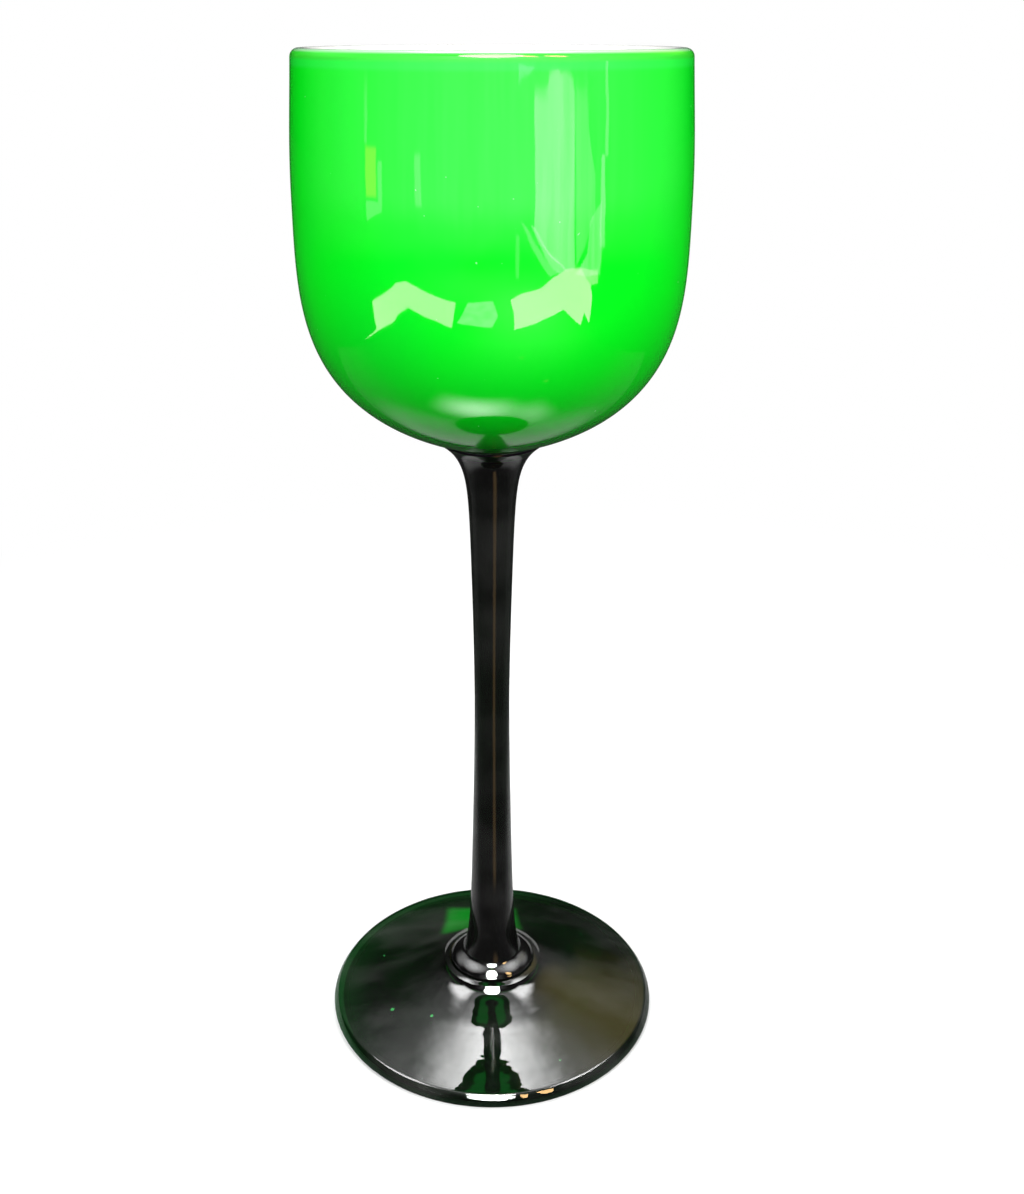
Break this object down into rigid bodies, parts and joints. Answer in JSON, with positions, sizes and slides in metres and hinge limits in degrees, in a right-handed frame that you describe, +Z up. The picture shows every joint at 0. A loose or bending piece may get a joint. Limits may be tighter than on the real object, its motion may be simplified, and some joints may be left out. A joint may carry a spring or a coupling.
{
  "type": "goblet",
  "caption": "Stemmed drinking goblet: a deep round-bottomed bowl of green glass cased over a white lining, on a slim waisted dark glass stem with a small collar and a wide low conical foot.",
  "frame": {"origin": "on the axis, in the plane that the foot stands on", "axes": "+Z up along the axis that every piece is turned about; +X and +Y are any two level directions, as the goblet is round"},
  "size_m": [0.0724, 0.0724, 0.2],
  "materials": {
    "white_glass": "polished opaque white",
    "green_glass": "polished, backed by white",
    "dark_glass_stem": "polished, near-black green",
    "dark_glass_collar": "polished, near-black green",
    "dark_glass_foot": "polished, near-black green"
  },
  "bodies": {
    "root": {"bowl_lining": "white_glass", "bowl_casing": "green_glass", "stem": "dark_glass_stem", "stem_collar": "dark_glass_collar", "foot": "dark_glass_foot"}
  },
  "joints": []
}
